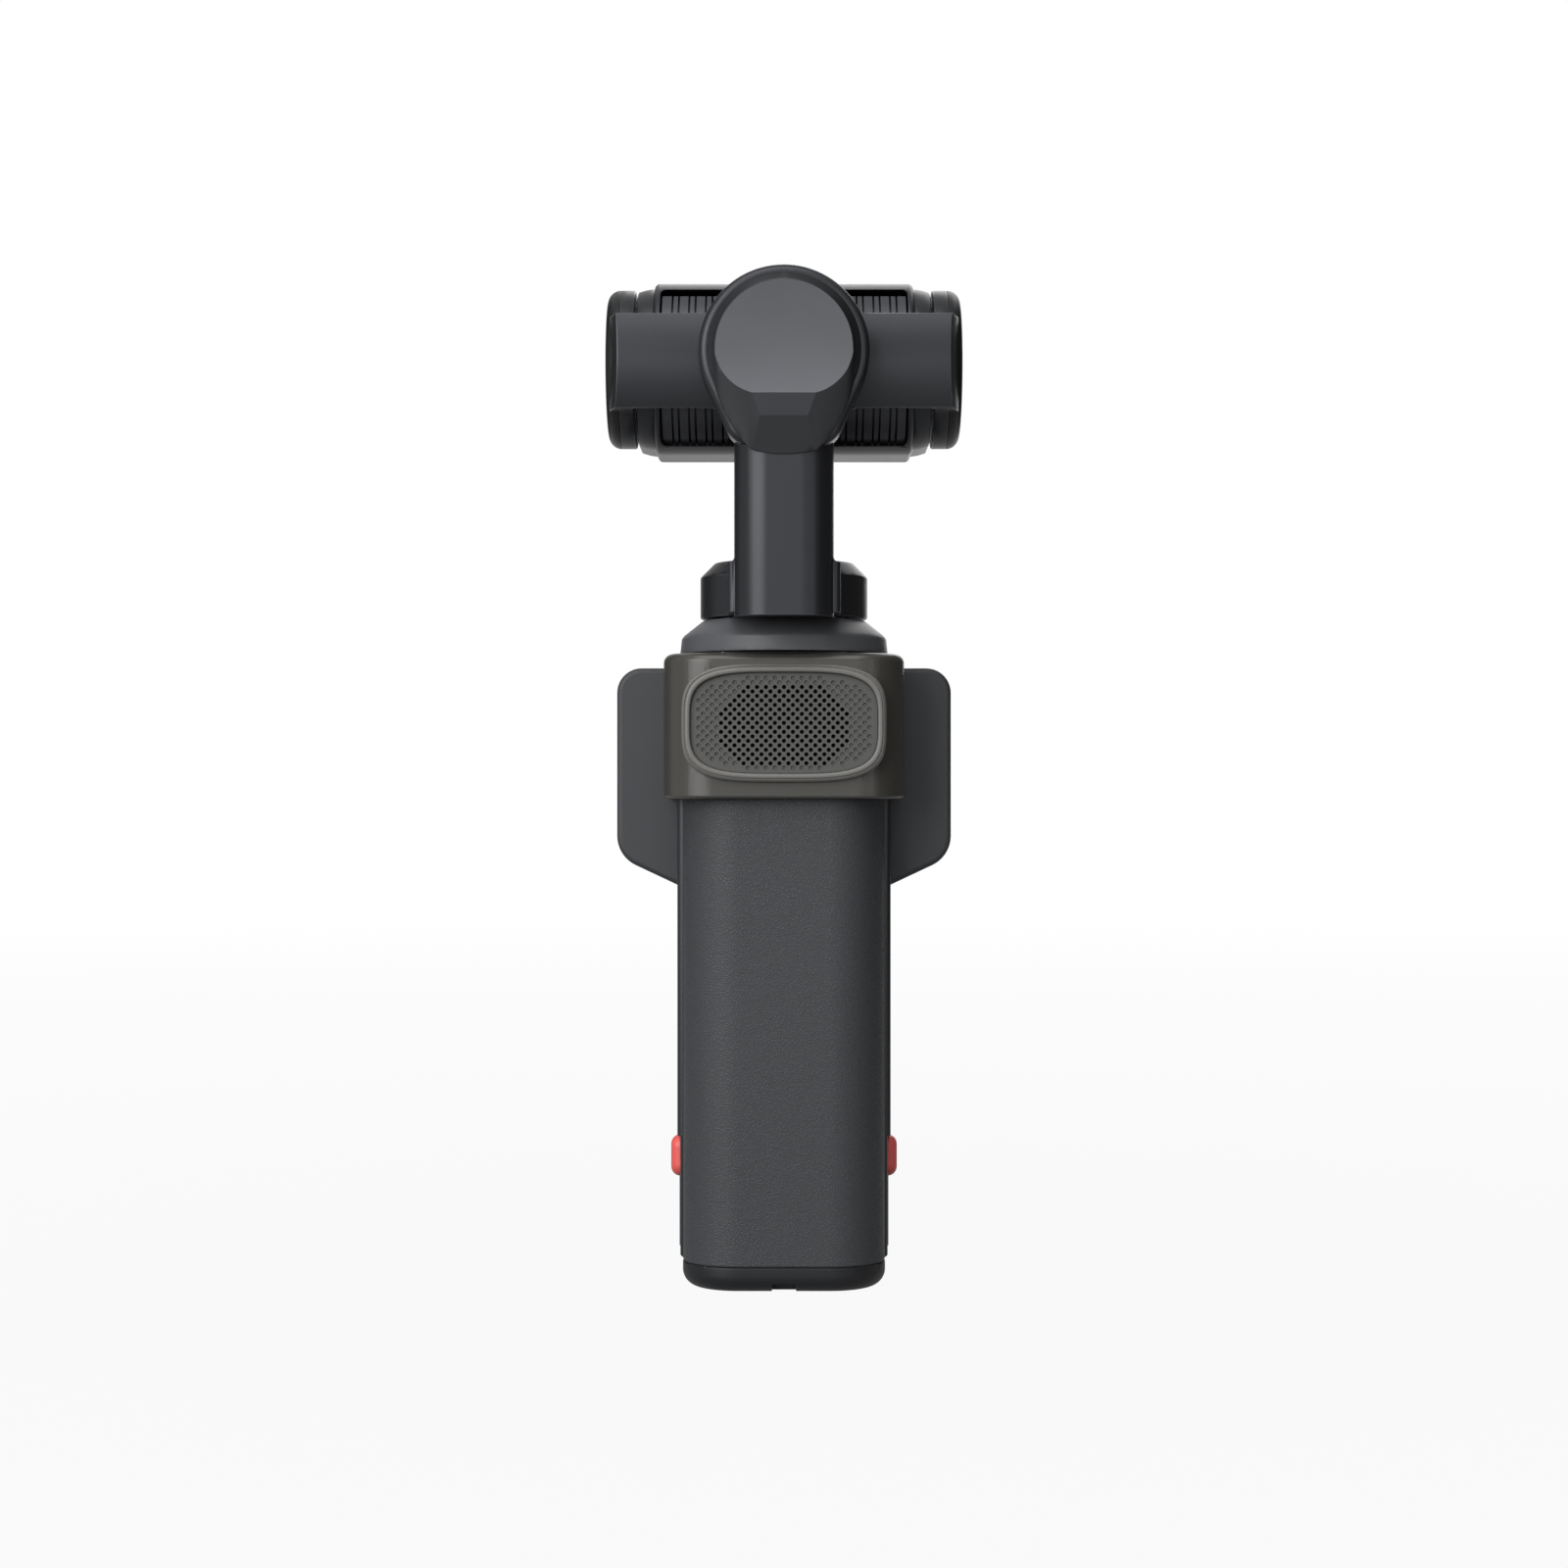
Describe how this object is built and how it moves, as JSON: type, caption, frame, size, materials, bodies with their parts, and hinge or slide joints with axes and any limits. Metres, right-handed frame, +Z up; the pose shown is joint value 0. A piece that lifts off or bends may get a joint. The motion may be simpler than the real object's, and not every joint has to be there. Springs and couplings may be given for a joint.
{
  "type": "gimbal camera",
  "caption": "Stick-handled camera whose lens head pans, rolls and tilts on motors, with a slide-off touchscreen module, side latches and a clip-on wind guard.",
  "frame": {"origin": "mouth of the tripod thread, in the middle of the base, on the pan axis", "axes": "+Z up along the handle, -Y towards the screen and, as stored, the lenses; +X to the right of someone who faces the screen"},
  "size_m": [0.0532, 0.0391, 0.1514],
  "materials": {
    "dark_alloy": "fine bead-blasted, anodised dark grey",
    "heat_sink_alloy": "dark anodised fins",
    "handle_alloy": "anodised dark grey",
    "grained_grip": "fine leather grain",
    "dark_plastic": "matt dark grey",
    "stick_rubber": "matt",
    "red_plastic": "satin red",
    "smoke_plastic": "satin smoke grey, faintly warm",
    "grille_steel": "matt grey, perforated",
    "foam": "open foam",
    "screen_glass": "polished black glass",
    "lens_glass": "coated lens glass",
    "lens_metal": "satin black",
    "bright_steel": "plain steel",
    "motor_steel": "plated steel",
    "contact_brass": "gold-plated",
    "circuit_board": "solder mask",
    "battery_wrap": "wrapped cell"
  },
  "bodies": {
    "handle": {"handle_frame": "handle_alloy", "back_cover": "grained_grip", "bottom_cap": "dark_plastic", "neck_ring": "dark_alloy", "tripod_insert": "bright_steel", "usb_c_port": "bright_steel", "strap_pin": "bright_steel", "cap_screws": "bright_steel", "handle_battery": "battery_wrap", "main_board": "circuit_board", "microphones": "dark_plastic", "dock_contacts": "contact_brass", "latch_bracket": "dark_plastic", "latch_spring_right": "bright_steel", "latch_spring_left": "bright_steel", "pan_stator": "motor_steel", "pan_bearing": "bright_steel"},
    "right_latch": {"latch_button_right": "red_plastic"},
    "left_latch": {"latch_button_left": "red_plastic"},
    "control_module": {"module_housing": "dark_plastic", "module_face": "dark_plastic", "screen_glass": "screen_glass", "display_panel": "battery_wrap", "module_battery": "battery_wrap", "module_board": "circuit_board", "module_contacts": "contact_brass", "button_switches": "circuit_board", "joystick_base": "dark_plastic"},
    "joystick_ring": {"joystick_pivot": "stick_rubber"},
    "joystick": {"joystick_cap": "stick_rubber"},
    "record_key": {"record_button": "red_plastic"},
    "function_key": {"function_button": "dark_plastic"},
    "clip_on_guard": {"wind_guard": "smoke_plastic", "grille_rim": "smoke_plastic", "grille_mesh": "grille_steel", "wind_foam": "foam"},
    "pan_arm": {"arm_frame": "dark_alloy", "roll_cover": "dark_alloy", "roll_stator": "motor_steel", "pan_rotor": "motor_steel", "arm_flex_cable": "circuit_board"},
    "roll_yoke": {"yoke": "dark_alloy", "roll_rotor": "motor_steel", "tilt_motor_cap": "dark_alloy", "tilt_bearing_cap": "dark_alloy", "tilt_stator": "motor_steel", "tilt_bearing": "bright_steel"},
    "camera_head": {"head_shell": "dark_alloy", "heat_sink": "heat_sink_alloy", "head_front": "dark_alloy", "head_end_right": "dark_alloy", "head_end_left": "dark_alloy", "tilt_rotor": "motor_steel", "main_lens_barrel": "lens_metal", "main_lens_glass": "lens_glass", "tele_lens_barrel": "lens_metal", "tele_lens_glass": "lens_glass", "sensor_board": "circuit_board", "processor_board": "circuit_board"}
  },
  "joints": [
    {"name": "pan", "type": "hinge", "parent": "handle", "child": "pan_arm", "pos_m": [0, 0, 0.1005], "axis": [0, 0, 1], "range_deg": [-55, 235]},
    {"name": "roll", "type": "hinge", "parent": "pan_arm", "child": "roll_yoke", "pos_m": [0, 0, 0.1385], "axis": [0, 1, 0], "range_deg": [-45, 45]},
    {"name": "tilt", "type": "hinge", "parent": "roll_yoke", "child": "camera_head", "pos_m": [0, 0, 0.1385], "axis": [1, 0, 0], "range_deg": [-70, 90]},
    {"name": "module_slide", "type": "slide", "parent": "handle", "child": "control_module", "axis": [0, -1, 0], "range_m": [0, 0.03]},
    {"name": "guard_slide", "type": "slide", "parent": "handle", "child": "clip_on_guard", "axis": [0, 1, 0], "range_m": [0, 0.03]},
    {"name": "right_latch_press", "type": "slide", "parent": "handle", "child": "right_latch", "axis": [-1, 0, 0], "range_m": [0, 0.001], "stiffness_N_per_m": 400, "springref_m": -0.001, "deforming": ["latch_spring_right"]},
    {"name": "left_latch_press", "type": "slide", "parent": "handle", "child": "left_latch", "axis": [1, 0, 0], "range_m": [0, 0.001], "stiffness_N_per_m": 400, "springref_m": -0.001, "deforming": ["latch_spring_left"]},
    {"name": "joystick_up_down", "type": "hinge", "parent": "control_module", "child": "joystick_ring", "pos_m": [0, -0.0105, 0.054], "axis": [1, 0, 0], "range_deg": [-10, 10], "stiffness_Nm_per_rad": 0.02},
    {"name": "joystick_left_right", "type": "hinge", "parent": "joystick_ring", "child": "joystick", "pos_m": [0, -0.0105, 0.054], "axis": [0, 0, 1], "range_deg": [-10, 10], "stiffness_Nm_per_rad": 0.02},
    {"name": "record_press", "type": "slide", "parent": "control_module", "child": "record_key", "axis": [0, 1, 0], "range_m": [0, 0.0003], "stiffness_N_per_m": 900, "springref_m": -0.0005},
    {"name": "function_press", "type": "slide", "parent": "control_module", "child": "function_key", "axis": [0, 1, 0], "range_m": [0, 0.0003], "stiffness_N_per_m": 900, "springref_m": -0.0005}
  ]
}
